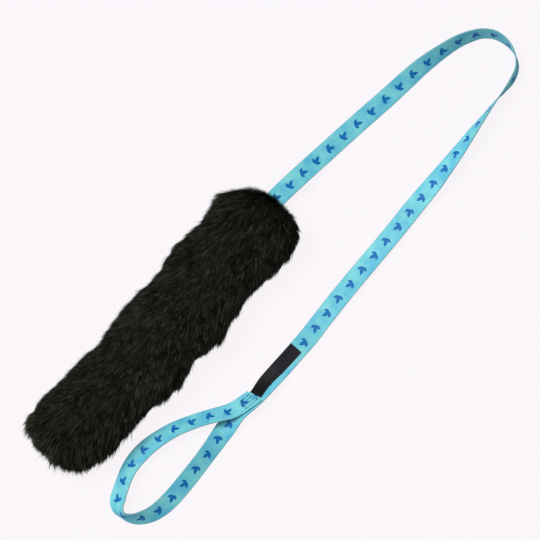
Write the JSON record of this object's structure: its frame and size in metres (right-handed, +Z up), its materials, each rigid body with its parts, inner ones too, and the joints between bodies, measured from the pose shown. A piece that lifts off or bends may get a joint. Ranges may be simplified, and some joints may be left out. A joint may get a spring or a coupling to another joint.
{
  "type": "sheepskin tug toy",
  "caption": "Wool-on sheepskin strip folded round webbing, on a long printed webbing lead with a sewn hand loop and a bare woven label.",
  "frame": {"origin": "centre of the flat that the tug rests on, halfway along it", "axes": "+X along the tug from its tail to the mouth where the strap comes out, +Y to the tug's left, +Z up"},
  "size_m": [0.6298, 0.1833, 0.044],
  "materials": {
    "wool": "deep black wool pile with an olive-brown sheen",
    "skin": "tanned suede",
    "plain_webbing": "plain woven webbing",
    "printed_webbing": "soft ribbed woven webbing, printed with small blue motifs",
    "label": "black satin weave, bare",
    "blue_thread": "twisted sewing thread",
    "black_thread": "twisted sewing thread"
  },
  "bodies": {
    "tug": {"wool_pile": "wool", "sheepskin_hide": "skin", "core_webbing": "plain_webbing", "edge_seam_needle_thread": "black_thread", "edge_seam_bobbin_thread": "black_thread", "mouth_tack_needle_thread": "black_thread", "mouth_tack_bobbin_thread": "black_thread"},
    "lead": {"lead_webbing": "printed_webbing"},
    "hand_loop": {"hand_loop_webbing": "printed_webbing", "woven_label": "label", "label_upper_needle_thread": "black_thread", "label_upper_bobbin_thread": "black_thread", "label_lower_needle_thread": "black_thread", "label_lower_bobbin_thread": "black_thread", "loop_tack_needle_thread": "blue_thread", "loop_tack_bobbin_thread": "blue_thread"}
  },
  "joints": [
    {"name": "tug_flex", "type": "hinge", "parent": "tug", "child": "lead", "pos_m": [0.174, 0.0075, 0.019], "axis": [0, 1, 0], "range_deg": [-85, 85]},
    {"name": "loop_flex", "type": "hinge", "parent": "lead", "child": "hand_loop", "pos_m": [0.087, -0.1135, 0.00095], "axis": [0, 1, 0], "range_deg": [-90, 90]}
  ]
}
